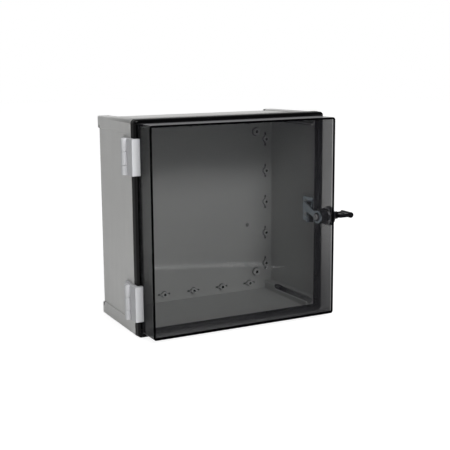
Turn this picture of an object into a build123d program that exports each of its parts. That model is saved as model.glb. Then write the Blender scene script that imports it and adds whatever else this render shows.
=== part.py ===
"""Square wall enclosure of moulded polycarbonate with a smoked door on two plastic hinges.

Sizes are in millimetres. Seen from the front, X runs to the right, Y to the rear and Z up.
The origin is the centre of the rear face, which lies against the wall. A depth is measured
from that face towards the front, so a point at depth d has y = -d.
"""
from build123d import *
import os

# Overall size of the closed enclosure
case_width = 300.0
case_depth = 180.0

# Door: a raised box on a flange that carries the seal
raise_depth = 38.5
raise_inset = 5.6  # from the edge of the flange to the raised walls
raise_radius = 4.0
door_wall = 3.0
door_edge_radius = 1.0
flange_depth = 11.7
flange_plate = 3.0
flange_inset = 0.5  # the flange stops short of the base's rim, all round
flange_radius = 5.0
flange_edge_radius = 3.4
skirt_thickness = 2.4
rib_shortfall = 1.5  # the inner lip of the seal channel is lower than the skirt
rim_gap = 0.4  # between the closed flange and the rim

# Seal
seal_side_clearance = 0.1
seal_tongue_clearance = 0.3
tongue_thickness = 1.8
tongue_height = 2.2

# Base box: walls with draft, a flared rim, and four square posts that stand proud
wall_thickness = 3.0
wall_draft = 2.8  # how much further out the walls are at the front
wall_radius = 3.0
rim_overhang = 2.6
rim_depth = 7.0
rim_radius = 5.5
rim_edge_radius = 0.8
post_width = 17.8
post_stand = 2.4
post_draft = 1.9
post_radius = 2.0
back_depth = 6.0  # from the rear face to the inner face of the back wall
back_pocket_depth = 2.8
back_pocket_radius = 8.0
back_land = 22.0  # flat border round the pocket in the rear face

# Wall screw holes in the posts, with a channel for the screw and its driver
wall_hole_inset = 12.5
wall_hole_radius = 2.75
channel_radius = 4.7
mouth_width = 8.6
channel_end_depth = 46.0

# Bosses on the back wall, in rows near its edges and one near each corner
boss_pitch = 50.0
boss_row_inset = 14.6
boss_radius = 4.0
boss_hole_radius = 1.6
boss_height = 4.6
corner_boss_inset = 17.5
corner_boss_radius = 5.5
corner_boss_hole_radius = 2.25
boss_hole_floor = 1.4
fin_length = 2.6
fin_thickness = 1.4
fin_drop = 1.0  # the fins are lower than their boss

# Hinges
hinge_inset = 50.0  # from the end of the case to the middle of the hinge
hinge_height = 49.0
barrel_radius = 5.0
barrel_offset = 7.0  # from the rim's side to the barrel's axis
barrel_setback = 4.4  # from the front of the rim to the axis
upper_knuckle = 16.8
lower_knuckle = 12.8
knuckle_gap = 0.4
pin_radius = 1.6
pin_clearance = 0.05
pin_recess = 1.0
door_leaf_front = 6.6  # thickness in front of the flange
door_leaf_side = 6.5  # thickness beside the flange
door_leaf_gap = 0.2  # to the raised wall
leaf_turn_clearance = 0.4
leaf_edge_radius = 0.8
peg_radius = 1.5
peg_spacing = 30.0
base_leaf_thickness = 3.0
base_leaf_reach = 25.0  # from the axis to the rear end of the plate
base_leaf_web = 12.0
hinge_pad_stand = 0.6
hinge_pad_border = 1.0

# Hinge screws, countersunk into the plate on the base
hinge_screw_spacing = 34.0
hinge_screw_setback = 17.0
hinge_screw_radius = 1.5
hinge_screw_head_radius = 3.2
hinge_screw_head_height = 1.8
hinge_screw_length = 7.0
screw_clearance = 0.05
drive_slot_width = 1.0
drive_slot_depth = 0.8

# Lock in the right wall of the door
lock_setback = 16.5  # from the front of the door to the lock's axis
lock_drop = 1.0
lock_seal_thickness = 0.8
lock_seal_inset = 1.0  # the seal's edge lies this far inside the flange's
lock_flange_radius = 14.2
lock_flange_thickness = 3.0
lock_flange_edge_radius = 0.9
lock_body_radius = 9.9
lock_body_length = 17.0  # from the seal to the inner end
lock_fit_clearance = 0.05
nut_across_flats = 23.0
nut_thickness = 3.6
nut_sides = 6
nut_chamfer = 0.8
nut_collar_radius = 13.0
nut_collar_thickness = 0.8
core_radius = 6.5
core_head_radius = 8.0
core_head_depth = 2.5
core_gap = 0.3
core_fit_clearance = 0.05
keyway_radius = 4.2
keyway_depth = 14.0
keyway_pin_radius = 1.5
bit_slot_width = 2.2
bit_slot_reach = 5.8
drive_square = 7.0
drive_square_clearance = 0.1

# Cam on the inner end of the lock: an arm with a nose bent towards the wall
cam_angle = 20.0  # above the rearward direction, as it rests just off the catch
cam_thickness = 3.0
cam_hub_radius = 9.3
cam_arm_width = 10.0
cam_nose_length = 13.0
cam_nose_thickness = 3.0
washer_radius = 6.4
washer_thickness = 1.0
cam_screw_radius = 2.0
cam_screw_head_radius = 4.2
cam_screw_head_height = 2.6
cam_screw_length = 9.0
cam_screw_edge_radius = 1.2
socket_radius = 1.7
socket_depth = 1.2

# Catch on the right wall of the base, which the nose drops behind
catch_thickness = 2.0
catch_height = 36.0
catch_low = 14.0  # how far it reaches below the lock's axis
catch_length = 26.0
catch_lip = 11.9  # how far the lip reaches from the pad
catch_lip_rise = 4.0
catch_set_in = 0.4  # from the front of the rim
catch_play = 0.6
catch_corner_radius = 3.0
catch_pad_gap = 0.5  # the pad lies this far outside the door's inner lip
catch_pad_border = 2.0
catch_screw_radius = 1.8
catch_screw_head_radius = 3.6
catch_screw_head_height = 2.2
catch_screw_head_chamfer = 1.0
catch_screw_length = 6.0
catch_screw_heights_share = (-0.24, 0.3)  # of the catch's height, from its middle
catch_screw_setback = 17.0

# Key
key_shank_radius = 4.0
key_pin_clearance = 0.2
key_end_gap = 0.5
bit_thickness = 1.6
bit_reach = 5.5
bit_length = 7.0
key_neck_gap = 0.5
key_neck_radius = 5.5
key_neck_length = 8.0
key_socket_length = 6.0
key_socket_clearance = 0.03
bow_width = 24.0
bow_length = 25.0
bow_thickness = 5.4
bow_radius = 4.5
bow_edge_radius = 1.2
bow_rim = 3.2
bow_recess = 1.1
bow_roll_radius = 4.2  # of the roll along the grip's far end
bow_roll_overhang = 0.5  # past the grip's sides

# Every cut runs past the surface by this much
overrun = 1.0

# Places worked out from the sizes above
case_half = case_width / 2
base_depth = case_depth - raise_depth - flange_depth - rim_gap
wall_front_half = case_half - rim_overhang
wall_rear_half = wall_front_half - wall_draft
post_rear_half = wall_rear_half + post_stand
post_front_half = post_rear_half + post_draft
post_inner_half = post_rear_half - post_width
wall_hole_half = post_rear_half - wall_hole_inset
boss_row_half = wall_rear_half - boss_row_inset
corner_boss_half = boss_row_half - corner_boss_inset
flange_half = case_half - flange_inset
raise_half = flange_half - raise_inset
skirt_inner_half = flange_half - skirt_thickness
flange_rear = base_depth + rim_gap
flange_front = flange_rear + flange_depth
tongue_half = (raise_half + skirt_inner_half + tongue_thickness) / 2
hinge_x = -case_half - barrel_offset
hinge_depth = base_depth - barrel_setback
lock_y = lock_setback - case_depth
lock_z = -lock_drop
catch_front = base_depth - catch_set_in
catch_face = catch_front - catch_thickness  # the side that the nose drops behind
nose_radius = (case_depth - lock_setback) - catch_face + catch_play
pad_x = raise_half - door_wall + catch_pad_gap
lock_face_x = raise_half + lock_seal_thickness
lock_end_x = lock_face_x - lock_body_length
lock_front_x = lock_face_x + lock_flange_thickness
cam_face_x = lock_end_x - core_gap


def at_depth(depth):
    """Plane parallel to the wall at a depth, drawn on in X and Z, facing the front."""
    return Plane.XZ.offset(depth)


def across(x):
    """Plane at an X place, drawn on in Y and Z, facing right."""
    return Plane.YZ.offset(x)


def square_prism(half, radius, start, end):
    return extrude(at_depth(start) * RectangleRounded(2 * half, 2 * half, radius), amount=end - start)


def square_taper(rear_half, front_half, radius, start, end):
    sections = [
        at_depth(depth) * RectangleRounded(2 * half, 2 * half, radius)
        for depth, half in ((start, rear_half), (end, front_half))
    ]
    return loft(sections)


def rod(depth, x, z, radius, length):
    """Round bar that starts at a depth and runs towards the front."""
    return extrude(at_depth(depth) * Pos(x, z) * Circle(radius), amount=length)


def bar_x(x, y, z, radius, length):
    """Round bar that starts at an X place and runs to the right."""
    return extrude(across(x) * Pos(y, z) * Circle(radius), amount=length)


def post(radius=post_radius):
    """The post in the upper right corner, from the rear face to the front of the rim."""
    sections = []
    for depth, outer in ((0, post_rear_half), (base_depth, post_front_half)):
        width = outer - post_inner_half
        middle = (outer + post_inner_half) / 2
        sections.append(at_depth(depth) * Pos(middle, middle) * RectangleRounded(width, width, radius))
    return loft(sections)


def screw_channel():
    """Round channel for the wall screw, with a mouth towards the box's middle that ends in a round."""
    length = base_depth - channel_end_depth
    bore = rod(channel_end_depth, wall_hole_half, wall_hole_half, channel_radius, length + overrun)
    round_end = channel_end_depth + channel_radius
    towards_middle = Plane(
        origin=(wall_hole_half, -round_end, wall_hole_half), x_dir=(0, -1, 0), z_dir=(-1, 0, -1)
    )
    mouth = Circle(mouth_width / 2) + Pos(length / 2, 0) * Rectangle(length, mouth_width)
    return bore + extrude(towards_middle * mouth, amount=post_width)


def wall_hole():
    length = channel_end_depth + 2 * overrun
    return rod(-overrun, wall_hole_half, wall_hole_half, wall_hole_radius, length)


def in_four_corners(shape):
    pair = [shape, mirror(shape, about=Plane.YZ)]
    return pair + [mirror(one, about=Plane.XY) for one in pair]


def boss_rows():
    """Places of the row bosses, each with the angle of its pair of fins."""
    per_side = int((boss_row_half - boss_pitch / 2) // boss_pitch)
    steps = [boss_pitch * step for step in range(-per_side, per_side + 1)]
    for step in steps:
        for side in (-boss_row_half, boss_row_half):
            yield side, step, 90
            yield step, side, 0


def base_box():
    """Moulded base: drafted walls, back wall with bosses, posts, flared rim and sealing tongue."""
    box = square_taper(wall_rear_half, wall_front_half, wall_radius, 0, base_depth)
    rim = square_prism(case_half, rim_radius, base_depth - rim_depth, base_depth)
    box += chamfer(rim.faces().sort_by(Axis.Y)[-1].outer_wire().edges(), rim_edge_radius)
    cavity_rear = wall_rear_half - wall_thickness
    cavity_front = wall_front_half - wall_thickness
    box -= square_taper(cavity_rear, cavity_front, post_radius, back_depth, base_depth)
    pad_height = catch_height + 2 * catch_pad_border
    pad_middle = lock_z - catch_low + catch_height / 2
    pad_length = catch_length + catch_pad_border + catch_set_in
    pad_width = wall_front_half - pad_x
    box += Pos(pad_x + pad_width / 2, -base_depth + pad_length / 2, pad_middle) * Box(
        pad_width, pad_length, pad_height
    )
    box += in_four_corners(post())
    box -= in_four_corners(screw_channel())
    box -= in_four_corners(wall_hole())
    box -= square_prism(case_half - back_land, back_pocket_radius, -overrun, back_pocket_depth)
    box += bosses()
    box -= boss_holes()
    tongue = square_prism(tongue_half, raise_radius, base_depth, base_depth + tongue_height)
    tongue -= square_prism(
        tongue_half - tongue_thickness, raise_radius - tongue_thickness, base_depth, base_depth + tongue_height
    )
    box += tongue
    for middle in hinge_middles():
        box += hinge_pad(middle)
        box -= [hinge_screw_core(middle, place, screw_clearance) for place in hinge_screw_places()]
    box -= [catch_screw_core(z, screw_clearance) for z in catch_screw_heights()]
    return box


def bosses():
    shapes = in_four_corners(
        rod(back_depth, corner_boss_half, corner_boss_half, corner_boss_radius, boss_height)
    )
    fin_span = 2 * (boss_radius + fin_length)
    fin_height = boss_height - fin_drop
    for x, z, angle in boss_rows():
        shapes.append(rod(back_depth, x, z, boss_radius, boss_height))
        fin = at_depth(back_depth) * Pos(x, z) * Rectangle(fin_span, fin_thickness, rotation=angle)
        shapes.append(extrude(fin, amount=fin_height))
    return shapes


def boss_holes():
    start = back_pocket_depth + boss_hole_floor
    length = back_depth + boss_height - start + overrun
    holes = in_four_corners(
        rod(start, corner_boss_half, corner_boss_half, corner_boss_hole_radius, length)
    )
    return holes + [rod(start, x, z, boss_hole_radius, length) for x, z, _ in boss_rows()]


def door_cover():
    """One moulding: raised box, flange, and the channel that holds the seal."""
    flange = square_prism(flange_half, flange_radius, flange_rear, flange_front)
    flange = fillet(flange.faces().sort_by(Axis.Y)[0].outer_wire().edges(), flange_edge_radius)
    plate_rear = flange_front - flange_plate
    flange -= square_prism(
        skirt_inner_half, flange_radius - skirt_thickness, flange_rear - overrun, plate_rear
    )
    raised = square_prism(raise_half, raise_radius, flange_rear + rib_shortfall, case_depth)
    raised = fillet(raised.faces().sort_by(Axis.Y)[0].outer_wire().edges(), door_edge_radius)
    cover = flange + raised
    cover -= square_prism(
        raise_half - door_wall, raise_radius - door_wall, flange_rear - overrun, case_depth - door_wall
    )
    cover -= bar_x(
        raise_half - door_wall - overrun, lock_y, lock_z, lock_body_radius + lock_fit_clearance,
        door_wall + 2 * overrun,
    )
    for middle in hinge_middles():
        cover -= [leaf_peg(middle + step, screw_clearance) for step in (-peg_spacing / 2, peg_spacing / 2)]
    return cover


def door_seal():
    """Foam cord in the door's channel, just clear of the base's tongue."""
    start = base_depth + tongue_height + seal_tongue_clearance
    end = flange_front - flange_plate
    outer = skirt_inner_half - seal_side_clearance
    inner = raise_half + seal_side_clearance
    seal = square_prism(outer, flange_radius - skirt_thickness, start, end)
    return seal - square_prism(inner, raise_radius, start, end)


def hinge_middles():
    place = case_half - hinge_inset
    return (place, -place)


def knuckle(middle, low, high):
    """Length of barrel between two heights above the hinge's lower end."""
    bottom = middle - hinge_height / 2 + low
    barrel = Cylinder(barrel_radius, high - low, align=(Align.CENTER, Align.CENTER, Align.MIN))
    return Pos(hinge_x, -hinge_depth, bottom) * barrel


def pin_hole(middle, radius):
    return Pos(hinge_x, -hinge_depth, middle) * Cylinder(radius, hinge_height + 2 * overrun)


def leaf_peg(z, clearance=0):
    """Peg of the door leaf, pressed into the flange in front of the seal."""
    x = -(raise_half + skirt_inner_half) / 2
    return rod(flange_front - flange_plate, x, z, peg_radius + clearance, flange_plate + overrun)


def door_leaf(middle):
    """Angle piece over the flange's edge, with the two outer knuckles."""
    left = -flange_half - door_leaf_side
    right = -raise_half - door_leaf_gap
    front = flange_front + door_leaf_front
    rear = hinge_depth + barrel_radius + leaf_turn_clearance
    outline = Polyline(
        (left, rear), (-flange_half, rear), (-flange_half, flange_front), (right, flange_front),
        (right, front), (left, front), close=True,
    )
    profile = Plane.XY.offset(middle - hinge_height / 2) * mirror(make_face(outline), about=Plane.XZ)
    leaf = extrude(profile, amount=hinge_height)
    leaf = fillet(leaf.edges().filter_by(Axis.Z).group_by(Axis.Y)[0], leaf_edge_radius)
    web_width = hinge_x + barrel_radius - left
    web_length = rear - hinge_depth
    ends = ((0, lower_knuckle), (hinge_height - upper_knuckle, hinge_height))
    for low, high in ends:
        web = Pos(left + web_width / 2, -hinge_depth - web_length / 2, middle - hinge_height / 2 + low) * Box(
            web_width, web_length, high - low, align=(Align.CENTER, Align.CENTER, Align.MIN)
        )
        leaf += web + knuckle(middle, low, high)
    leaf -= pin_hole(middle, pin_radius + pin_clearance)
    return leaf + [
        leaf_peg(middle + step) - rod(flange_front, left, middle + step, door_leaf_side, overrun)
        for step in (-peg_spacing / 2, peg_spacing / 2)
    ]


def hinge_pad(middle):
    """Flat seat for the hinge on the drafted side wall, running into the rim."""
    width = wall_thickness + hinge_pad_stand
    length = base_leaf_reach - (rim_depth - barrel_setback) + hinge_pad_border
    height = hinge_height + 2 * hinge_pad_border
    return Pos(-wall_front_half - hinge_pad_stand + width / 2, -base_depth + rim_depth + length / 2, middle) * Box(
        width, length, height
    )


def base_leaf(middle):
    """Plate on the base's side with the middle knuckle, its web behind the rim."""
    inner = -wall_front_half - hinge_pad_stand
    outer = inner - base_leaf_thickness
    plate_front = base_depth - rim_depth
    rear = hinge_depth - base_leaf_reach
    plate = Pos((inner + outer) / 2, -(plate_front + rear) / 2, middle) * Box(
        base_leaf_thickness, plate_front - rear, hinge_height
    )
    low = lower_knuckle + knuckle_gap
    high = hinge_height - upper_knuckle - knuckle_gap
    web = Polyline(
        (hinge_x, hinge_depth), (hinge_x, hinge_depth - barrel_radius),
        (inner, hinge_depth - base_leaf_web), (inner, plate_front), (outer, plate_front),
        (outer, hinge_depth), close=True,
    )
    web = Plane.XY.offset(middle - hinge_height / 2 + low) * mirror(make_face(web), about=Plane.XZ)
    leaf = plate + extrude(web, amount=high - low) + knuckle(middle, low, high)
    leaf -= pin_hole(middle, pin_radius)
    leaf -= [hinge_screw(middle, place, screw_clearance) for place in hinge_screw_places()]
    return leaf


def hinge_pin(middle):
    return Pos(hinge_x, -hinge_depth, middle) * Cylinder(pin_radius, hinge_height - 2 * pin_recess)


def hinge_screw_places():
    return (-hinge_screw_spacing / 2, hinge_screw_spacing / 2)


def hinge_screw_core(middle, place, clearance=0):
    face = -wall_front_half - hinge_pad_stand - base_leaf_thickness
    y = hinge_screw_setback - hinge_depth
    return bar_x(face, y, middle + place, hinge_screw_radius + clearance, hinge_screw_length)


def hinge_screw(middle, place, clearance=0):
    """Countersunk screw whose head is flush with the plate."""
    face = -wall_front_half - hinge_pad_stand - base_leaf_thickness
    y = hinge_screw_setback - hinge_depth
    head = across(face) * Pos(y, middle + place) * Circle(hinge_screw_head_radius + clearance)
    neck = across(face + hinge_screw_head_height) * Pos(y, middle + place) * Circle(
        hinge_screw_radius + clearance
    )
    return loft([head, neck]) + hinge_screw_core(middle, place, clearance)


def hinge_screws(middle):
    """The two screws of a hinge, slotted."""
    face = -wall_front_half - hinge_pad_stand - base_leaf_thickness
    y = hinge_screw_setback - hinge_depth
    screws = []
    for place in hinge_screw_places():
        slot = Pos(face, y, middle + place) * Box(
            2 * drive_slot_depth, drive_slot_width, 2 * hinge_screw_head_radius
        )
        screws.append(hinge_screw(middle, place) - slot)
    return Compound(screws)


def lock_housing():
    """Flanged barrel through the door's wall, bored for the core."""
    housing = bar_x(lock_end_x, lock_y, lock_z, lock_body_radius, lock_body_length)
    flange = bar_x(lock_face_x, lock_y, lock_z, lock_flange_radius, lock_flange_thickness)
    housing += fillet(flange.faces().sort_by(Axis.X)[-1].edges(), lock_flange_edge_radius)
    housing -= bar_x(
        lock_end_x - overrun, lock_y, lock_z, core_radius + core_fit_clearance,
        lock_body_length + lock_flange_thickness + 2 * overrun,
    )
    head = core_head_depth + core_gap
    return housing - bar_x(
        lock_front_x - head, lock_y, lock_z, core_head_radius + core_gap, head + overrun
    )


def lock_seal():
    radius = lock_flange_radius - lock_seal_inset
    seal = bar_x(raise_half, lock_y, lock_z, radius, lock_seal_thickness)
    return seal - bar_x(
        raise_half - overrun, lock_y, lock_z, lock_body_radius + lock_fit_clearance,
        lock_seal_thickness + 2 * overrun,
    )


def lock_nut():
    """Hexagon nut with a collar, which clamps the housing from inside, a flat towards the front."""
    start = raise_half - door_wall - nut_thickness
    hexagon = RegularPolygon(nut_across_flats / 2, nut_sides, major_radius=False, rotation=180 / nut_sides)
    nut = extrude(across(start) * Pos(lock_y, lock_z) * hexagon, amount=nut_thickness)
    rounded = bar_x(start, lock_y, lock_z, nut_across_flats / 2 + nut_chamfer, nut_thickness)
    nut &= chamfer(rounded.edges().group_by(Axis.X)[0], nut_chamfer)
    seat = start + nut_thickness - nut_collar_thickness
    nut += bar_x(seat, lock_y, lock_z, nut_collar_radius, nut_collar_thickness)
    return nut - bar_x(
        start - overrun, lock_y, lock_z, lock_body_radius + lock_fit_clearance, nut_thickness + 2 * overrun
    )


def bit_slot(width, reach, start, end):
    return Pos((start + end) / 2, lock_y, lock_z) * Box(end - start, 2 * reach, width)


def lock_core():
    """Turning core with the keyway in front and the square for the cam behind."""
    front = lock_front_x - core_gap / 2
    core = bar_x(cam_face_x, lock_y, lock_z, core_radius, front - cam_face_x)
    core += bar_x(front - core_head_depth, lock_y, lock_z, core_head_radius, core_head_depth)
    square = across(cam_face_x - cam_thickness + core_gap / 2) * Pos(lock_y, lock_z) * Rectangle(
        drive_square, drive_square, rotation=cam_angle
    )
    core += extrude(square, amount=cam_thickness)
    floor = front - keyway_depth
    core -= bar_x(floor, lock_y, lock_z, keyway_radius, keyway_depth + overrun)
    core -= bit_slot(bit_slot_width, bit_slot_reach, floor, front + overrun)
    core += bar_x(floor, lock_y, lock_z, keyway_pin_radius, keyway_depth - core_head_depth)
    start = cam_face_x - cam_thickness - washer_thickness
    return core - bar_x(
        start - overrun, lock_y, lock_z, cam_screw_radius + screw_clearance, cam_screw_length + overrun
    )


def lock_cam():
    """Flat hub and arm, with a nose bent square towards the wall."""
    plate = Circle(cam_hub_radius)
    reach = nose_radius + cam_nose_thickness
    plate += Pos(reach / 2, 0) * Rectangle(reach, cam_arm_width)
    plate -= Rectangle(drive_square + drive_square_clearance, drive_square + drive_square_clearance)
    cam = extrude(plate, amount=cam_thickness)
    cam += Pos(nose_radius + cam_nose_thickness / 2, 0) * extrude(
        Rectangle(cam_nose_thickness, cam_arm_width), amount=cam_nose_length
    )
    bend = cam.edges().filter_by(Axis.Y).group_by(Axis.Z)[0].sort_by(Axis.X)[-1]
    cam = fillet(bend, cam_nose_thickness / 2)
    seat = Plane(origin=(cam_face_x - cam_thickness, lock_y, lock_z), x_dir=(0, 1, 0), z_dir=(1, 0, 0))
    return seat * Rot(0, 0, cam_angle) * cam


def cam_washer():
    start = cam_face_x - cam_thickness - washer_thickness
    washer = bar_x(start, lock_y, lock_z, washer_radius, washer_thickness)
    return washer - bar_x(
        start - overrun, lock_y, lock_z, cam_screw_radius + screw_clearance, washer_thickness + 2 * overrun
    )


def cam_screw():
    """Round-headed screw with a hexagon socket, which clamps the cam to the core."""
    seat = cam_face_x - cam_thickness - washer_thickness
    head = bar_x(seat - cam_screw_head_height, lock_y, lock_z, cam_screw_head_radius, cam_screw_head_height)
    head = fillet(head.faces().sort_by(Axis.X)[0].edges(), cam_screw_edge_radius)
    screw = head + bar_x(seat, lock_y, lock_z, cam_screw_radius, cam_screw_length - overrun)
    socket = across(seat - cam_screw_head_height) * Pos(lock_y, lock_z) * RegularPolygon(socket_radius, 6)
    return screw - extrude(socket, amount=socket_depth)


def catch_screw_heights():
    middle = lock_z - catch_low + catch_height / 2
    return [middle + share * catch_height for share in catch_screw_heights_share]


def catch_screw_core(z, clearance=0):
    start = pad_x - catch_thickness
    y = catch_screw_setback - catch_front
    return bar_x(start, y, z, catch_screw_radius + clearance, catch_screw_length)


def door_catch():
    """Folded plate on the base's wall; its lip holds the cam's nose."""
    middle = lock_z - catch_low + catch_height / 2
    plate = across(pad_x - catch_thickness) * Pos(catch_length / 2 - catch_front, middle) * Rectangle(
        catch_length, catch_height
    )
    plate = extrude(plate, amount=catch_thickness)
    plate = fillet(
        plate.edges().filter_by(Axis.X).group_by(Axis.Y)[-1], catch_corner_radius
    )
    lip_height = catch_low + catch_lip_rise
    lip_middle = lock_z + (catch_lip_rise - catch_low) / 2
    lip = at_depth(catch_face) * Pos(pad_x - catch_lip / 2, lip_middle) * Rectangle(catch_lip, lip_height)
    lip = extrude(lip, amount=catch_thickness)
    lip = fillet(lip.edges().filter_by(Axis.Y).group_by(Axis.X)[0], catch_thickness)
    catch = plate + lip
    return catch - [catch_screw_core(z, screw_clearance) for z in catch_screw_heights()]


def catch_screws():
    screws = []
    y = catch_screw_setback - catch_front
    seat = pad_x - catch_thickness
    for z in catch_screw_heights():
        head = bar_x(seat - catch_screw_head_height, y, z, catch_screw_head_radius, catch_screw_head_height)
        head = chamfer(head.faces().sort_by(Axis.X)[0].edges(), catch_screw_head_chamfer)
        slot = Pos(seat - catch_screw_head_height, y, z) * Box(
            2 * drive_slot_depth, drive_slot_width, 2 * catch_screw_head_radius
        )
        screws.append(head + catch_screw_core(z) - slot)
    return Compound(screws)


def key_shank():
    """Tubular shank with two bits, which slips over the pin in the keyway."""
    start = lock_front_x - core_gap / 2 - keyway_depth + key_end_gap
    end = lock_front_x + key_neck_gap + key_socket_length
    shank = bar_x(start, lock_y, lock_z, key_shank_radius, end - start)
    shank += bit_slot(bit_thickness, bit_reach, start, start + bit_length)
    return shank - bar_x(
        start - overrun, lock_y, lock_z, keyway_pin_radius + key_pin_clearance, keyway_depth + overrun
    )


def key_bow():
    """Flat plastic grip on a round neck, recessed on both broad sides, with a roll along its end."""
    neck_start = lock_front_x + key_neck_gap
    grip_start = neck_start + key_neck_length
    neck = bar_x(neck_start, lock_y, lock_z, key_neck_radius, key_neck_length + bow_rim)
    grip_length = bow_length - bow_roll_radius
    grip = Pos(grip_start + grip_length / 2, lock_y, lock_z - bow_thickness / 2) * extrude(
        RectangleRounded(grip_length, bow_width, bow_radius), amount=bow_thickness
    )
    grip = fillet(
        grip.faces().sort_by(Axis.Z)[-1].edges() + grip.faces().sort_by(Axis.Z)[0].edges(), bow_edge_radius
    )
    recess_length = grip_length - bow_roll_radius - 2 * bow_rim
    recess = RectangleRounded(recess_length, bow_width - 2 * bow_rim, bow_radius - bow_edge_radius)
    for side in (-1, 1):
        level = lock_z + side * (bow_thickness / 2 - bow_recess)
        grip -= Pos(grip_start + bow_rim + recess_length / 2, lock_y, level) * extrude(
            recess, amount=side * (bow_recess + overrun)
        )
    roll = Cylinder(bow_roll_radius, bow_width + 2 * bow_roll_overhang, rotation=(90, 0, 0))
    roll = fillet(roll.edges().filter_by(GeomType.CIRCLE), bow_edge_radius)
    bow = grip + neck + Pos(grip_start + grip_length, lock_y, lock_z) * roll
    return bow - bar_x(
        neck_start - overrun, lock_y, lock_z, key_shank_radius + key_socket_clearance, key_socket_length + overrun
    )


def all_nodes():
    upper, lower = hinge_middles()
    nodes = {
        "base_box": base_box(),
        "door_cover": door_cover(),
        "door_seal": door_seal(),
    }
    for name, middle in (("upper", upper), ("lower", lower)):
        nodes[f"{name}_hinge_base_leaf"] = base_leaf(middle)
        nodes[f"{name}_hinge_door_leaf"] = door_leaf(middle)
        nodes[f"{name}_hinge_pin"] = hinge_pin(middle)
        nodes[f"{name}_hinge_screws"] = hinge_screws(middle)
    nodes |= {
        "lock_housing": lock_housing(),
        "lock_seal": lock_seal(),
        "lock_nut": lock_nut(),
        "lock_core": lock_core(),
        "lock_cam": lock_cam(),
        "cam_washer": cam_washer(),
        "cam_screw": cam_screw(),
        "door_catch": door_catch(),
        "catch_screws": catch_screws(),
        "key_shank": key_shank(),
        "key_bow": key_bow(),
    }
    return nodes


os.makedirs("parts", exist_ok=True)
for name, shape in all_nodes().items():
    export_step(shape, f"parts/{name}.step")
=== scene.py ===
"""Dresses the hinged polycarbonate enclosure: materials, the fine pieces and a plain studio.

Lengths are in metres in the frame of the CAD: X to the right, Y to the rear, Z up, with the
origin at the centre of the rear face, which lies against the wall.
"""

from math import pi, radians, sqrt

import bmesh
import bpy
import numpy as np
from bpy.props import FloatProperty, FloatVectorProperty, IntProperty, PointerProperty
from mathutils import Matrix, Vector


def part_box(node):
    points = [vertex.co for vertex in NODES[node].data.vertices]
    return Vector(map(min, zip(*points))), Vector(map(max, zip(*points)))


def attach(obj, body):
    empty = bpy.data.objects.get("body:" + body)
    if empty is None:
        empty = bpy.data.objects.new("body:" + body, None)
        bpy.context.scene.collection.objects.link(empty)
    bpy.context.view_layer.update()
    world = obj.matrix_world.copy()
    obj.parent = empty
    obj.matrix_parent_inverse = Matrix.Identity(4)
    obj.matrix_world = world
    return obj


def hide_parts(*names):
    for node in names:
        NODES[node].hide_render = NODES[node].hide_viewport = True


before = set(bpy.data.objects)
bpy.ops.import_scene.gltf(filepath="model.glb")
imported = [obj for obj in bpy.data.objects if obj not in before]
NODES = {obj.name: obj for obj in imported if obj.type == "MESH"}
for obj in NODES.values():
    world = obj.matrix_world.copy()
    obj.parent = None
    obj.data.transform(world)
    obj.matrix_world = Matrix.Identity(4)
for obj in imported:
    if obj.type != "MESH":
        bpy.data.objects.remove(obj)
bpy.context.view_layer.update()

bl_info = {
    "name": "Hinged Enclosure Dressing",
    "version": (1, 0, 0),
    "blender": (4, 5, 0),
    "location": "3D View > Sidebar > Enclosure",
    "description": "Gives the hinged enclosure its plastics, metals, seal and studio",
    "category": "Object",
}

BASE_LOW, BASE_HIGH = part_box("base_box")
DOOR_LOW, DOOR_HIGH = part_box("door_cover")
SEAL_LOW, SEAL_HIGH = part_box("door_seal")
BARREL_LOW, BARREL_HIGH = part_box("lock_housing")
NUT_LOW, NUT_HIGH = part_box("lock_nut")
LOCK_Y, LOCK_Z = (BARREL_LOW.y + BARREL_HIGH.y) / 2, (BARREL_LOW.z + BARREL_HIGH.z) / 2


def colour(name, description, default):
    return FloatVectorProperty(
        name=name, description=description, default=default, subtype="COLOR", size=3, min=0.0, max=1.0
    )


def length(name, description, default):
    return FloatProperty(
        name=name, description=description, default=default, unit="LENGTH", precision=5, min=0.0
    )


def place(name, description, default):
    return FloatVectorProperty(
        name=name, description=description, default=default, unit="LENGTH", size=len(default), precision=5
    )


def share(name, description, default):
    return FloatProperty(
        name=name, description=description, default=default, subtype="FACTOR", min=0.0, max=1.0
    )


def amount(name, description, default):
    return FloatProperty(name=name, description=description, default=default, min=0.0)


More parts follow.
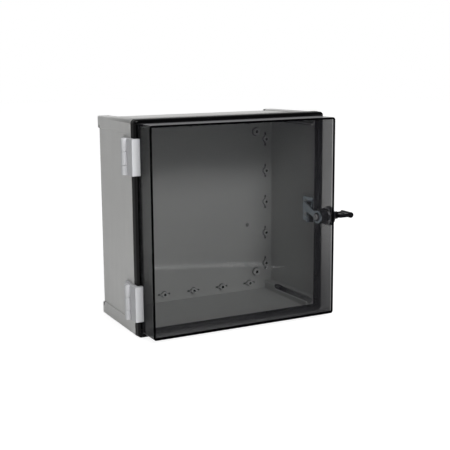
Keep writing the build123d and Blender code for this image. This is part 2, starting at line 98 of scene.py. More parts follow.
class EnclosureFinish(bpy.types.PropertyGroup):
    """Colours and surface sizes of the plastics and metals."""

    base_colour: colour("Base", "Light grey of the moulded base", (0.575, 0.575, 0.565))
    inside_colour: colour("Base inside", "Slightly greener grey of the base's inside", (0.560, 0.577, 0.562))
    # Painted shade on the base's top wall, darker towards the rim
    top_shade_colour: colour("Grime", "Dirt on the base's top wall", (0.10, 0.10, 0.10))
    # Painted highlight on the bosses' tops and the channels' lips
    highlight_colour: colour("Lips", "Bright tops of the bosses and lips of the channels", (0.86, 0.87, 0.86))
    # Painted shade in the holes and channels and round the bosses' feet and fins; also the colour of the flow
    # lines
    deep_shade_colour: colour("Deep places", "Holes, channels and dirt round the bosses", (0.03, 0.031, 0.03))
    # Pale colour of the door's painted reflection on its upper wall, of its paler lower wall and of its painted
    # highlight at the side walls' roots
    pale_colour: colour("Dust colour", "Dust on the door's walls", (0.42, 0.42, 0.43))
    # Painted highlight on the collar of the lock's nut
    collar_highlight_colour: colour("Collar", "Rubbed collar of the lock's nut", (0.75, 0.76, 0.78))
    base_grain: length("Base grain", "Size of the spark-eroded grain on the base", 0.0007)
    hinge_colour: colour("Hinges", "Paler, cooler grey of the hinges", (0.545, 0.55, 0.565))
    door_gloss: share("Door gloss", "Strength of the door's polish", 0.27)
    # Strength of the painted reflection on top of the upper raised wall
    dust_and_sheen: share("Dust", "Cover of dust on the upper raised wall", 0.75)
    smoke_colour: colour("Smoke", "Surface colour of the smoked sheet", (0.009, 0.009, 0.011))
    smoke_density: share("Smoke density", "Opacity of one face of the sheet, seen square on", 0.292)
    smoke_glancing: share("Glancing gain", "Opacity that one face gains as the view glances", 0.40)
    # Painted shade: opacity that darkens the raised walls near the flange and low down
    root_shade: share("Root shade", "Opacity that the raised walls gain near the flange", 0.14)
    seal_colour: colour("Seal", "Black of the foam seal", (0.012, 0.012, 0.013))
    gasket_colour: colour("Gasket", "Grey of the lock's rubber ring", (0.30, 0.30, 0.31))
    lock_colour: colour("Lock plastic", "Black of the lock, its nut and the key's grip", (0.006, 0.006, 0.008))
    zinc_colour: colour("Zinc", "Bright zinc plate on the cam and the catch", (0.62, 0.71, 0.79))
    steel_colour: colour("Steel", "Screws and pins", (0.93, 0.93, 0.95))
    wear: share("Wear", "Strength of smudges, dirt and fine scratches", 0.5)


class EnclosureShape(bpy.types.PropertyGroup):
    """Sizes of the pieces that are made here, and of the CAD's details that the finishes follow."""

    door_wall: length("Door wall", "Thickness of the door's walls", 0.003)
    raised_half: length("Raised half width", "From the middle of the door to its raised walls", 0.1439)
    edge_breadth: length("Black edge", "Breadth of the black line round the door's front face", 0.0027)
    edge_gain: length("Black edge gain", "How much broader it is on the lock's side and below", 0.0015)
    edge_depth: length("Black edge depth", "Breadth of that line on the sides", 0.0009)
    flange_depth: length("Flange depth", "From the base's rim to the front of the door's flange", 0.0117)
    back_wall: length("Back wall", "From the rear face to the inner face of the back wall", 0.006)
    boss_pitch: length("Boss pitch", "Between the bosses of a row", 0.050)
    boss_row: length("Boss row", "From the middle of the case to a row of bosses", 0.130)
    boss_corner: length("Corner boss", "From the middle of the case to a corner boss, each way", 0.1125)
    boss_height: length("Boss height", "From the back wall to a boss's top", 0.0046)
    boss_radius: length("Boss radius", "Radius of a boss in a row", 0.004)
    boss_hole: length("Boss hole", "Radius of the dark spot over its hole", 0.0021)
    corner_radius: length("Corner boss radius", "Radius of a corner boss", 0.0055)
    corner_hole: length("Corner boss hole", "Radius of its hole", 0.00225)
    fin_reach: length("Fin reach", "From a boss's middle to the end of the marks along its fins", 0.0100)
    fin_half: length("Fin half thickness", "Half of a fin's thickness", 0.0007)
    channel_place: length("Channel place", "From the middle of the case to a screw channel, each way", 0.1345)
    channel_mouth: length("Channel mouth", "Half of the mouth's width", 0.0043)
    channel_end: length("Channel end", "From the rear face to where the channel's dark run begins", 0.0407)
    channel_fade: length("Channel fade", "Length over which that run grows lighter", 0.045)
    seal_turn: length("Seal corner", "Radius of the seal's centre line in the corners", 0.0033)
    seal_breadth: length("Seal breadth", "Across the seal's section", 0.0030)
    seal_groove: share("Seal groove", "Depth of the seal's groove, as a share of its height", 0.35)
    seal_steps: IntProperty(
        name="Seal steps", description="Points round each corner of the seal", default=10, min=2
    )
    barrel_radius: length("Barrel radius", "Radius of the lock's barrel", 0.0099)
    thread_pitch: length("Thread pitch", "From crest to crest on the lock's barrel", 0.0010)
    thread_height: length("Thread height", "From the barrel to the crest", 0.00032)
    nut_radius: length("Nut radius", "To the corners of the lock's nut, inside its collar", 0.0119)
    gate_radius: length("Gate mark", "Radius of the mark that the mould's gate left", 0.0032)
    gate_rise: length("Gate rise", "Height of that mark", 0.00045)
    gate_place: place("Gate place", "Where the mark is on the back wall, sideways and up", (0.097, -0.035))


class EnclosureStudio(bpy.types.PropertyGroup):
    """Camera and light."""

    camera_place: place("Camera", "Place of the camera", (-0.63697, -1.31413, 0.23982))
    camera_azimuth: FloatProperty(
        name="Azimuth", description="Turn of the view to the right", default=radians(27.944), unit="ROTATION"
    )
    camera_elevation: FloatProperty(
        name="Elevation", description="Tilt of the view down", default=radians(10.385), unit="ROTATION"
    )
    camera_roll: FloatProperty(
        name="Roll", description="Roll of the camera", default=radians(-0.404), unit="ROTATION"
    )
    camera_lens: FloatProperty(
        name="Lens", description="Focal length on a 36 mm sensor, in millimetres", default=76.70, min=1.0
    )
    sky: amount("Sky", "Even light from all sides", 0.33)
    room: amount("Room", "Brightness of the studio in front, as gloss shows it", 0.14)
    floor_white: amount("Floor seen directly", "Light that lifts the floor to white for the camera", 0.90)
    floor_gloss: amount("Floor in gloss", "Light that gloss finds on the floor", 0.28)
    front_light: amount("Front light", "Power of the front lamp in watts", 66.0)
    front_place: place("Front lamp", "Place of the front lamp", (0.15, -2.4, 1.38))
    front_size: place("Front lamp size", "Width and height of the front lamp", (1.1, 0.5))
    side_light: amount("Side light", "Power of the small lamp at the left in watts", 1.4)
    side_place: place("Side lamp", "Place of the small lamp at the left", (-1.6, -1.2, 0.9))
    side_size: place("Side lamp size", "Width and height of that lamp", (0.16, 0.16))
    top_light: amount("Top light", "Power of the top lamp in watts", 2.0)
    top_place: place("Top lamp", "Place of the top lamp", (0.0, 0.15, 2.3))
    top_size: place("Top lamp size", "Width and depth of the top lamp", (1.4, 1.4))
    strip_place: place("Strip", "Middle of the bright floor strip that the door mirrors", (0.1247, -0.5804))
    strip_turn: FloatProperty(
        name="Strip turn", description="Turn of the strip from the X axis", default=radians(19.8),
        unit="ROTATION",
    )
    strip_half: length("Strip half breadth", "Half of the strip's breadth", 0.018)
    strip_ends: place("Strip ends", "Where its long part begins and ends, from its middle", (-0.20, 0.081))
    stub_ends: place("Stub ends", "Where its short part begins and ends", (0.091, 0.115))
    strip_notch: length("Strip notch", "How far the dim notch is on the other side of its middle", 0.070)
    streak_ends: place("Streak ends", "Where the thin streak begins and ends", (0.115, 0.153))
    streak_rise: length("Streak rise", "How far the streak begins to the side of the strip", 0.029)
    streak_slope: amount("Streak slope", "Its slope against the strip", 0.22)
    streak_gain: amount("Streak gain", "Its brightness as a multiple of the strip's", 2.0)
    strip_light: amount("Strip light", "Brightness of the strip, as gloss shows it", 8.5)


class Number:
    """A number that varies over a surface. Sums on it add Math nodes to its paint."""

    def __init__(self, paint, socket):
        self.paint, self.socket = paint, socket

    def _math(self, operation, *values):
        return self.paint.math(operation, *values)

    def __add__(self, other):
        return self._math("ADD", self, other)

    def __radd__(self, other):
        return self._math("ADD", other, self)

    def __sub__(self, other):
        return self._math("SUBTRACT", self, other)

    def __rsub__(self, other):
        return self._math("SUBTRACT", other, self)

    def __mul__(self, other):
        return self._math("MULTIPLY", self, other)

    def __rmul__(self, other):
        return self._math("MULTIPLY", other, self)

    def __gt__(self, other):
        return self._math("GREATER_THAN", self, other)

    def __lt__(self, other):
        return self._math("LESS_THAN", self, other)

    def __abs__(self):
        return self._math("ABSOLUTE", self)


class Paint:
    """A material and its nodes."""

    def __init__(self, name):
        self.material = bpy.data.materials.new(name)
        self.material.use_nodes = True
        self.tree = self.material.node_tree
        self.tree.nodes.clear()
        self.place = self.node("ShaderNodeTexCoord").outputs["Object"]
        split = self.node("ShaderNodeSeparateXYZ", inputs={0: self.place})
        self.x, self.y, self.z = (Number(self, split.outputs[axis]) for axis in "XYZ")

    @classmethod
    def on(cls, tree):
        """The same calls on another node tree, such as the world's."""
        paint = cls.__new__(cls)
        paint.tree = tree
        tree.nodes.clear()
        return paint

    def node(self, kind, settings=None, inputs=None):
        """One node: its settings first, then the value or link of each socket named."""
        node = self.tree.nodes.new(kind)
        for name, value in (settings or {}).items():
            setattr(node, name, value)
        for key, value in (inputs or {}).items():
            if isinstance(key, str) and key.endswith("_Color"):
                socket = next(one for one in node.inputs if one.identifier == key)
            else:
                socket = node.inputs[key]
            value = value.socket if isinstance(value, Number) else value
            if isinstance(value, bpy.types.NodeSocket):
                self.tree.links.new(value, socket)
            else:
                socket.default_value = value
        return node

    def math(self, operation, *values):
        node = self.node("ShaderNodeMath", {"operation": operation}, dict(enumerate(values)))
        return Number(self, node.outputs[0])

    def larger(self, one, other):
        return self.math("MAXIMUM", one, other)

    def smaller(self, one, other):
        return self.math("MINIMUM", one, other)

    def away(self, one, other):
        """Length of the vector whose parts are one and other."""
        return self.math("SQRT", one * one + other * other)

    def nearest(self, value, pitch):
        """Distance from value to the nearest multiple of pitch."""
        return self.math("PINGPONG", value, pitch / 2)

    def step(self, value, low, high):
        """Rises smoothly from 0 at low to 1 at high."""
        settings = {"interpolation_type": "SMOOTHSTEP"}
        node = self.node("ShaderNodeMapRange", settings, {"Value": value, "From Min": low, "From Max": high})
        return Number(self, node.outputs["Result"])

    def within(self, value, limit, soft):
        """1 where value is under limit, falling to 0 over the length soft."""
        return 1.0 - self.step(value, limit, limit + soft)

    def between(self, value, low, high):
        return (value > low) * (value < high)

    def noise(self, size, detail=2.0, stretch=(1.0, 1.0, 1.0), roughness=0.5):
        """Noise whose features are about size metres, longer where stretch is more than 1."""
        mapping = self.node(
            "ShaderNodeMapping", inputs={"Vector": self.place, "Scale": tuple(1.0 / s for s in stretch)}
        )
        inputs = {
            "Vector": mapping.outputs[0], "Scale": 1.0 / size, "Detail": detail, "Roughness": roughness,
        }
        return Number(self, self.node("ShaderNodeTexNoise", inputs=inputs).outputs[0])

    def mix(self, amount, one, other):
        """Colour from one to other as amount goes from 0 to 1."""
        inputs = {0: amount, "A_Color": self._rgba(one), "B_Color": self._rgba(other)}
        node = self.node("ShaderNodeMix", {"data_type": "RGBA"}, inputs)
        return next(one for one in node.outputs if one.identifier == "Result_Color")

    @staticmethod
    def _rgba(value):
        return value if isinstance(value, bpy.types.NodeSocket) else (*value[:3], 1.0)

    def bump(self, height, strength, distance):
        inputs = {"Height": height, "Strength": strength, "Distance": distance}
        return self.node("ShaderNodeBump", inputs=inputs).outputs[0]

    def finish(self, inputs):
        """Closes the material with a Principled shader that takes these inputs."""
        shader = self.node("ShaderNodeBsdfPrincipled", inputs=inputs)
        self.node("ShaderNodeOutputMaterial", inputs={"Surface": shader.outputs[0]})
        return self.material

    def seen_by(self, *kinds):
        """One number for each kind of ray that Light Path names."""
        path = self.node("ShaderNodeLightPath")
        return [Number(self, path.outputs[kind]) for kind in kinds]


def tone(rgb, factor):
    return tuple(min(1.0, factor * level) for level in rgb[:3])


def dress(material, *names):
    """Gives CAD nodes this material."""
    for name in names:
        for slot in NODES[name].material_slots:
            slot.material = material


def mesh_piece(name, points, material, wrap=(False, True), poles=()):
    """Object from a grid of points, whose two directions may each close on themselves. Each end
    row named in poles, 0 or -1, is closed with a fan to its middle. Its faces point outwards."""
    rows, columns = points.shape[:2]
    index = np.arange(rows * columns).reshape(rows, columns)
    if wrap[0]:
        index = np.concatenate([index, index[:1]], axis=0)
    if wrap[1]:
        index = np.concatenate([index, index[:, :1]], axis=1)
    quads = np.stack([index[:-1, :-1], index[1:, :-1], index[1:, 1:], index[:-1, 1:]], axis=-1)
    faces = quads.reshape(-1, 4).tolist()
    vertices = points.reshape(-1, 3)
    for row in poles:
        middle = np.full(index.shape[1] - 1, len(vertices))
        faces += np.stack([middle, index[row, :-1], index[row, 1:]], axis=-1).tolist()
        vertices = np.concatenate([vertices, points[row].mean(axis=0)[None, :]])
    mesh = bpy.data.meshes.new(name)
    mesh.from_pydata(vertices.tolist(), [], faces)
    mesh.polygons.foreach_set("use_smooth", np.full(len(mesh.polygons), True))
    mesh.materials.append(material)
    work = bmesh.new()
    work.from_mesh(mesh)
    bmesh.ops.recalc_face_normals(work, faces=work.faces)
    work.to_mesh(mesh)
    work.free()
    piece = bpy.data.objects.new(name, mesh)
    bpy.context.scene.collection.objects.link(piece)
    return piece


def new_piece(name, points, material, body, slot_name, **closing):
    piece = mesh_piece(name, points, material, **closing)
    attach(piece, body)
    return piece


def grained(paint, rgb, grain, wear):
    """Colour, roughness gain and bump height of moulded plastic: slow drift, flow and fine grain."""
    drift = paint.noise(0.11, detail=3.0)
    grains = paint.noise(grain, detail=4.0, roughness=0.65)
    flow = paint.noise(0.012, detail=2.0, stretch=(1.0, 1.0, 7.0))
    shade = paint.step(drift * 0.7 + flow * 0.3, 0.3, 0.75)
    base = paint.mix(shade, tone(rgb, 0.95), tone(rgb, 1.04))
    fleck = paint.step(grains, 0.45, 0.85) * 0.2
    scuffs = paint.step(paint.noise(0.004, detail=5.0, stretch=(1.0, 6.0, 1.0)), 0.62, 0.75)
    rough = grains * 0.14 - scuffs * (0.12 * wear)
    return paint.mix(fleck, base, tone(rgb, 0.78)), rough, grains + scuffs * (0.25 * wear)


def moulded_plastic(name, rgb, grain, roughness, gloss, wear):
    paint = Paint(name)
    shade, rough, height = grained(paint, rgb, grain, wear)
    return paint.finish({
        "Base Color": shade,
        "Roughness": roughness + rough,
        "Normal": paint.bump(height, 0.10, 0.3 * grain),
        "IOR": 1.58,
        "Specular IOR Level": gloss,
    })


def plated_metal(name, rgb, roughness, wear):
    """Plated steel: brushed streaks, faint blotches and small pits."""
    paint = Paint(name)
    streaks = paint.noise(0.0006, detail=3.0, stretch=(1.0, 14.0, 1.0))
    blotches = paint.noise(0.006, detail=4.0)
    pits = paint.step(paint.noise(0.0011, detail=2.0), 0.68, 0.78)
    base = paint.mix(paint.step(blotches, 0.35, 0.7), tone(rgb, 0.80), rgb)
    return paint.finish({
        "Base Color": paint.mix(pits * (0.5 * wear), base, tone(rgb, 0.4)),
        "Metallic": 1.0,
        "Roughness": roughness + streaks * 0.12 + pits * 0.2,
        "Normal": paint.bump(streaks - pits * 0.6, 0.15, 0.0001),
    })


class ENCLOSURE_OT_base(bpy.types.Operator):
    """Give the moulded base its light grey, grained plastic, with painted shade where the moulding is deep"""

    bl_idname = "enclosure.base"
    bl_label = "Base"

    def execute(self, context):
        finish, shape = context.scene.enclosure_finish, context.scene.enclosure_shape
        paint = Paint("base plastic")
        shade, rough, height = grained(paint, finish.base_colour, finish.base_grain, finish.wear)
        inside = (abs(paint.x) < shape.raised_half) * (abs(paint.z) < shape.raised_half)
        inside = inside * (paint.y < 0.0001 - shape.back_wall)
        shade = paint.mix(inside * 0.6, shade, finish.inside_colour)
        # Painted shade on the top wall, darker towards the rim
        top_shade = (paint.z > shape.raised_half) * paint.step(paint.y, -0.02, BASE_LOW.y) * 0.62
        shade = paint.mix(top_shade, shade, finish.top_shade_colour)
        boss_dark, boss_highlight = self.bosses(paint, shape)
        channel_dark, channel_highlight = self.channels(paint, shape)
        flow_marks = self.flow_marks(paint, shape)
        # Painted highlights on the bosses' tops and the channels' lips
        light = paint.larger(boss_highlight, channel_highlight)
        shade = paint.mix(light, shade, finish.highlight_colour)
        # Painted shade in the holes, the channels and round the bosses, with the faint flow lines
        dark = paint.larger(paint.larger(boss_dark, channel_dark), flow_marks)
        shade = paint.mix(dark, shade, finish.deep_shade_colour)
        plastic = paint.finish({
            "Base Color": shade,
            "Roughness": 0.42 + rough,
            "Normal": paint.bump(height, 0.10, 0.3 * finish.base_grain),
            "IOR": 1.58,
            "Specular IOR Level": 0.36,
        })
        dress(plastic, "base_box")
        return {"FINISHED"}

    @staticmethod
    def bosses(paint, shape):
        """Painted shade darkens the holes, the foot of each boss and the lines along its fins, and a painted
        highlight lightens each boss's top.
        """
        sideways, up = abs(paint.x), abs(paint.z)
        wall = paint.y > -shape.back_wall - 0.0006
        near_back = paint.between(paint.y, -shape.back_wall - 1.1 * shape.boss_height, -0.0035)
        top = paint.y < -shape.back_wall - 0.93 * shape.boss_height
        columns = (sideways - shape.boss_row, paint.nearest(paint.z, shape.boss_pitch))
        rows = (up - shape.boss_row, paint.nearest(paint.x, shape.boss_pitch))
        corner = paint.away(sideways - shape.boss_corner, up - shape.boss_corner)
        row = paint.smaller(paint.away(*columns), paint.away(*rows))
        hole = paint.larger(
            paint.within(row, shape.boss_hole, 0.0003), paint.within(corner, shape.corner_hole, 0.0003)
        )
        foot = paint.larger(
            paint.within(row, shape.boss_radius + 0.0003, 0.0013),
            paint.within(corner, shape.corner_radius + 0.0003, 0.0015),
        )
        fins = [
            paint.within(abs(across), shape.fin_half + 0.0002, 0.0010)
            * paint.within(along, shape.fin_reach, 0.0010)
            for across, along in (columns, rows)
        ]
        # Painted shade round the foot of each boss and along its fins
        foot_shade = paint.larger(foot, paint.larger(*fins)) * wall * 0.85
        dark = paint.larger(hole * 0.97, foot_shade) * near_back
        # Painted highlight on each boss's top
        ring = paint.larger(
            paint.within(row, shape.boss_radius, 0.0002), paint.within(corner, shape.corner_radius, 0.0002)
        )
        return dark, ring * (1.0 - hole) * top * near_back * 0.45

    @staticmethod
    def channels(paint, shape):
        """Painted shade darkens the screw channels, most of all at their ends, and a painted highlight
        brightens their lips.
        """
        sideways, up = abs(paint.x), abs(paint.z)
        across = (sideways - up) * sqrt(0.5)
        outward = (sideways + up) * sqrt(0.5) - sqrt(2.0) * shape.channel_place
        beyond = paint.larger(paint.y + shape.channel_end, 0.0)
        mouth = paint.away(beyond, across)
        opening = paint.within(mouth, shape.channel_mouth, 0.0003)
        deep = paint.between(outward, -0.0090, 0.0060) * (paint.y < shape.channel_mouth - shape.channel_end)
        end = paint.step(paint.y, -shape.channel_end - shape.channel_fade, -shape.channel_end + 0.001)
        lip = (1.0 - opening) * paint.within(mouth, shape.channel_mouth + 0.0012, 0.0005)
        front = paint.between(outward, -0.0090, 0.0005) * (paint.y < 0.007 - shape.channel_end)
        return opening * deep * (0.48 + end * 0.48), lip * front * 0.8

    @staticmethod
    def flow_marks(paint, shape):
        """Faint lines that the plastic left below the bosses of the side rows."""
        line = paint.within(paint.nearest(paint.z + 0.0055, shape.boss_pitch), 0.0003, 0.0009)
        on_wall = paint.between(paint.y, -shape.back_wall - 0.0003, -0.0035)
        return line * paint.step(abs(paint.x), 0.07, 0.11) * on_wall * 0.10


class ENCLOSURE_OT_door(bpy.types.Operator):
    """Give the door its smoked sheet, with black edges and an opaque, duller flange"""

    bl_idname = "enclosure.door"
    bl_label = "Door"

    def execute(self, context):
        finish, shape = context.scene.enclosure_finish, context.scene.enclosure_shape
        paint = Paint("smoked sheet")
        outward = paint.larger(abs(paint.x), abs(paint.z))
        wall_inside = shape.raised_half - shape.door_wall
        flange_front = DOOR_HIGH.y - shape.flange_depth
        # Where the sheet is looked into along its own depth, it is black: at the front edges, more
        # so on the lock's side and below ...
        rim = shape.raised_half - shape.edge_breadth
        broad = paint.larger(paint.x, 0.0 - paint.z)
        broad_rim = rim - shape.edge_gain
        edge = paint.larger(
            paint.step(outward, rim - 0.0002, rim), paint.step(broad, broad_rim - 0.0002, broad_rim + 0.0002)
        )
        edge = edge * (paint.y < DOOR_LOW.y + shape.edge_depth)
        # ... and over the flange, with the seal behind it
        flange = (outward > shape.raised_half + 0.0002) * (paint.y > flange_front - 0.0002)
        root = paint.step(paint.y, flange_front - 0.0001, flange_front + 0.0003)
        black = paint.larger(edge, paint.larger(flange, root))
        facing = Number(paint, paint.node("ShaderNodeLayerWeight", inputs={"Blend": 0.5}).outputs["Facing"])
        raised = outward > wall_inside - 0.0001
        near_root = paint.step(paint.y, flange_front - 0.038, flange_front) * 0.35
        near_root = near_root + paint.step(paint.y, flange_front - 0.006, flange_front - 0.002) * 0.5
        # Painted shade: the raised walls are made more opaque, so darker, near the flange, low on the side
        # walls and on the lower wall
        low = paint.step(paint.z, 0.0, -0.13) * (abs(paint.x) > abs(paint.z)) * 1.45
        on_lower = paint.z < 0.0001 - wall_inside
        lower_wall = on_lower * paint.step(paint.y, flange_front - 0.008, flange_front - 0.02)
        shade = (near_root + low + lower_wall * 1.3) * raised * finish.root_shade
        sheet = finish.smoke_density + facing * finish.smoke_glancing + shade
        cloud = paint.noise(0.05, detail=4.0)
        wipe = paint.noise(0.006, detail=5.0, stretch=(5.0, 1.0, 1.6))
        smudge = paint.step(cloud * 0.6 + wipe * 0.4, 0.45, 0.75)
        scratch = paint.step(paint.noise(0.0012, detail=2.0, stretch=(26.0, 1.0, 3.0)), 0.7, 0.76)
        haze = (smudge * 0.10 + scratch * 0.12) * finish.wear
        tint = paint.mix(haze * 0.25, finish.smoke_colour, (0.16, 0.16, 0.17))
        # Painted reflection: a pale sheen on top of the upper raised wall, stronger towards its front
        dust_and_sheen = paint.step(paint.z, shape.raised_half - 0.0004, shape.raised_half - 0.0001)
        dust_and_sheen = dust_and_sheen * paint.step(paint.y, flange_front + 0.002, flange_front - 0.016)
        dust_and_sheen = dust_and_sheen * (1.0 - black) * finish.dust_and_sheen
        tint = paint.mix(dust_and_sheen, tint, finish.pale_colour)
        # The sheet is also made paler on the lower wall, less so to the right, with a faint painted highlight
        # in the corner at the side walls' roots
        below = on_lower * paint.step(paint.y, flange_front, DOOR_LOW.y + 0.006)
        outside = outward > shape.raised_half - 0.0002
        corner = outside * paint.step(paint.y, flange_front - 0.012, flange_front)
        below = on_lower * 0.24 + below * 0.22
        below = below * (1.0 - paint.step(paint.x, -0.10, 0.16) * 0.65)
        tint = paint.mix(paint.larger(below, corner * 0.08), tint, finish.pale_colour)
        smoked = paint.finish({
            "Base Color": paint.mix(black, tint, tone(finish.smoke_colour, 0.1)),
            "Roughness": 0.04 + haze * 0.9 + black * 0.45,
            "Alpha": paint.smaller(paint.larger(paint.larger(sheet, dust_and_sheen), black), 1.0),
            "IOR": 1.585,
            "Specular IOR Level": 0.0,
            "Coat Weight": (1.0 - edge) * finish.door_gloss,
            "Coat Roughness": 0.025,
        })
        dress(smoked, "door_cover")
        return {"FINISHED"}


class ENCLOSURE_OT_hinges(bpy.types.Operator):
    """Give the hinges their paler plastic and steel pins"""

    bl_idname = "enclosure.hinges"
    bl_label = "Hinges"

    def execute(self, context):
        finish = context.scene.enclosure_finish
        plastic = moulded_plastic("hinge plastic", finish.hinge_colour, 0.0004, 0.55, 0.15, finish.wear)
        steel = plated_metal("pin steel", finish.steel_colour, 0.28, finish.wear)
        for side in ("upper", "lower"):
            dress(plastic, f"{side}_hinge_base_leaf", f"{side}_hinge_door_leaf")
            dress(steel, f"{side}_hinge_pin", f"{side}_hinge_screws")
        return {"FINISHED"}


class ENCLOSURE_OT_lock(bpy.types.Operator):
    """Give the lock, its nut and the key's grip black plastic, and the rest metal"""

    bl_idname = "enclosure.lock"
    bl_label = "Lock and key"

    def execute(self, context):
        finish, shape = context.scene.enclosure_finish, context.scene.enclosure_shape
        black, grip = finish.lock_colour, tone(finish.lock_colour, 0.4)
        dress(moulded_plastic("lock plastic", black, 0.0003, 0.34, 0.12, finish.wear), "lock_housing")
        dress(moulded_plastic("key plastic", grip, 0.0004, 0.26, 0.04, finish.wear), "key_bow")
        dress(self.nut(finish, shape), "lock_nut")
        zinc = plated_metal("zinc plate", finish.zinc_colour, 0.17, finish.wear)
        dress(zinc, "lock_cam", "door_catch")
        # The washer is darkened as painted shade round the screw
        dress(plated_metal("washer steel", tone(finish.steel_colour, 0.2), 0.30, finish.wear), "cam_washer")
        dress(plated_metal("screw steel", finish.steel_colour, 0.45, finish.wear), "cam_screw", "catch_screws")
        core = plated_metal("core metal", tone(finish.steel_colour, 0.3), 0.34, finish.wear)
        dress(core, "lock_core", "key_shank")
        return {"FINISHED"}

    @staticmethod
    def nut(finish, shape):
        """Black nut whose thin collar carries a pale painted highlight all round."""
        paint = Paint("nut plastic")
        shade, rough, height = grained(paint, finish.lock_colour, 0.0003, finish.wear)
        reach = paint.away(paint.y - LOCK_Y, paint.z - LOCK_Z)
        # Painted highlight on the collar
        collar_highlight = paint.step(reach, shape.nut_radius, shape.nut_radius + 0.0003)
        return paint.finish({
            "Base Color": paint.mix(collar_highlight * 0.8, shade, finish.collar_highlight_colour),
            "Roughness": 0.32 + rough,
            "Normal": paint.bump(height, 0.10, 0.0001),
            "Specular IOR Level": 0.1,
        })


class ENCLOSURE_OT_thread(bpy.types.Operator):
    """Cut the thread on the free end of the lock's barrel"""

    bl_idname = "enclosure.thread"
    bl_label = "Barrel thread"

    def execute(self, context):
        shape = context.scene.enclosure_shape
        grid = self.sleeve(shape.barrel_radius, shape.thread_pitch, shape.thread_height)
        plastic = NODES["lock_housing"].material_slots[0].material
        new_piece("barrel_thread", grid, plastic, "door", "lock_plastic", wrap=(True, True))
        return {"FINISHED"}

    @staticmethod
    def sleeve(radius, pitch, height):
        """Outside, r = radius + height * tooth(u), where u = x / pitch - angle / turn and tooth is a
        triangle wave whose height fades to nothing over half a pitch at both ends. Inside, r lies a
        little under radius, in the barrel, and closes the sleeve."""
        low, high = BARREL_LOW.x, NUT_LOW.x
        along = np.linspace(low, high, int(6 * (high - low) / pitch) + 1)[:, None]
        angle = np.linspace(0.0, 2.0 * pi, 72, endpoint=False)[None, :]
        turns = along / pitch - angle / (2.0 * pi)
        tooth = 1.0 - np.abs(2.0 * (turns - np.floor(turns)) - 1.0)
        fade = np.clip(np.minimum(along - low, high - along) / (0.5 * pitch), 0.0, 1.0)
        reach = radius + height * tooth * fade
        reach = np.concatenate([reach, np.full((2, angle.shape[1]), radius - 0.3 * height)])
        along = np.concatenate([along, [[high], [low]]])
        return np.stack([
            np.broadcast_to(along, reach.shape),
            LOCK_Y + reach * np.cos(angle),
            LOCK_Z + reach * np.sin(angle),
        ], axis=-1)


class ENCLOSURE_OT_seal(bpy.types.Operator):
    """Lay the foam seal in the door's channel and dress the lock's ring"""

    bl_idname = "enclosure.seal"
    bl_label = "Seals"

    def execute(self, context):
        finish, shape = context.scene.enclosure_finish, context.scene.enclosure_shape
        foam = self.foam("seal foam", finish.seal_colour)
        dress(foam, "door_seal")
        dress(self.foam("gasket rubber", finish.gasket_colour), "lock_seal")
        grid = self.cord(shape.seal_turn, shape.seal_breadth, shape.seal_groove, shape.seal_steps)
        seal = new_piece("foam_seal", grid, foam, "door", "seal_rubber", wrap=(True, True))
        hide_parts("door_seal")
        return {"FINISHED"}

    @staticmethod
    def foam(name, rgb):
        """Matt rubber with fine open cells and some dust."""
        paint = Paint(name)
        cells = paint.noise(0.0009, detail=3.0, roughness=0.7)
        dust_and_sheen = paint.step(paint.noise(0.02, detail=4.0), 0.5, 0.8)
        return paint.finish({
            "Base Color": paint.mix(dust_and_sheen * 0.3, rgb, tone(rgb, 2.5)),
            "Roughness": 0.75 + cells * 0.2,
            "Normal": paint.bump(cells, 0.5, 0.0003),
        })

    @staticmethod
    def cord(turn, breadth, groove, steps):
        """A cord's section carried round a square with rounded corners. The section is the
        superellipse |a|^4 + |b|^4 = 1, whose rear side dips by groove * cos(pi a / 2)."""
        middle = (SEAL_HIGH.x - SEAL_LOW.x) / 2 - breadth / 2
        half_height = (SEAL_HIGH.y - SEAL_LOW.y) / 2
        level = (SEAL_HIGH.y + SEAL_LOW.y) / 2
        quarter = np.linspace(0.0, pi / 2, steps)
        angles = (np.arange(4)[:, None] * pi / 2 + quarter[None, :]).reshape(-1)
        corner = np.repeat(np.arange(4), steps)
        centre_x = (middle - turn) * np.array([1.0, -1.0, -1.0, 1.0])[corner]
        centre_z = (middle - turn) * np.array([1.0, 1.0, -1.0, -1.0])[corner]
        round_angle = np.linspace(0.0, 2.0 * pi, 28, endpoint=False)
        across = np.sign(np.cos(round_angle)) * np.abs(np.cos(round_angle)) ** 0.5
        deep = np.sign(np.sin(round_angle)) * np.abs(np.sin(round_angle)) ** 0.5
        dip = groove * np.cos(across * pi / 2) * np.clip(deep, 0.0, 1.0)
        sideways = turn + breadth / 2 * across[None, :]
        return np.stack([
            centre_x[:, None] + sideways * np.cos(angles)[:, None],
            np.broadcast_to(level + half_height * (deep - dip)[None, :], (len(angles), len(across))),
            centre_z[:, None] + sideways * np.sin(angles)[:, None],
        ], axis=-1)


